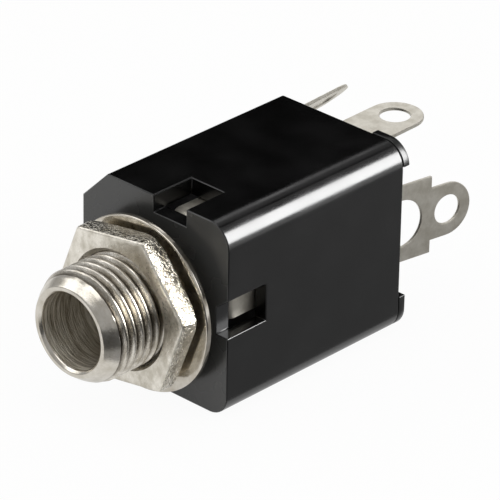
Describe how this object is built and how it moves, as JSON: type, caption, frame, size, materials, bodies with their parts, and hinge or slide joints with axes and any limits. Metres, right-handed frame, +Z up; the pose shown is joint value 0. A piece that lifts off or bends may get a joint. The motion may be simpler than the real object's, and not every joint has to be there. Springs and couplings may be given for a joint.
{
  "type": "mono jack socket",
  "caption": "Panel jack socket for a mono audio plug: black moulded housing with a threaded nickel nose, hex nut and washer, and folded spring contacts with solder lugs at the rear.",
  "frame": {"origin": "point where the plug's axis crosses the housing's front face", "axes": "+X to the right as seen from the front, +Y from the nose to the solder lugs, +Z up"},
  "size_m": [0.0163, 0.0383, 0.017],
  "materials": {
    "housing": "black moulded plastic, satin gloss",
    "rear_cover": "black moulded plastic, matt",
    "bushing": "bright nickel plate on turned brass",
    "washer": "bright nickel plate on stamped steel",
    "nut": "nickel plate on brass, front face finely ground",
    "contacts": "dull tin plate on spring brass strip"
  },
  "bodies": {
    "socket": {"housing": "housing", "rear_cover": "rear_cover", "threaded_bushing": "bushing", "tip_contact": "contacts", "sleeve_contact": "contacts", "switch_contact": "contacts"},
    "washer_ring": {"washer": "washer"},
    "nut": {"hex_nut": "nut"}
  },
  "joints": [
    {"name": "washer_slide", "type": "slide", "parent": "socket", "child": "washer_ring", "axis": [0, -1, 0], "range_m": [-0.00119, 0.0051]},
    {"name": "nut_turn", "type": "hinge", "parent": "washer_ring", "child": "nut", "pos_m": [0, -0.003, 0], "axis": [0, -1, 0], "range_deg": [-505, 2161]}
  ],
  "couplings": [
    {"joint": "nut_turn", "follows": "washer_slide", "rad_per_m": 7392}
  ]
}
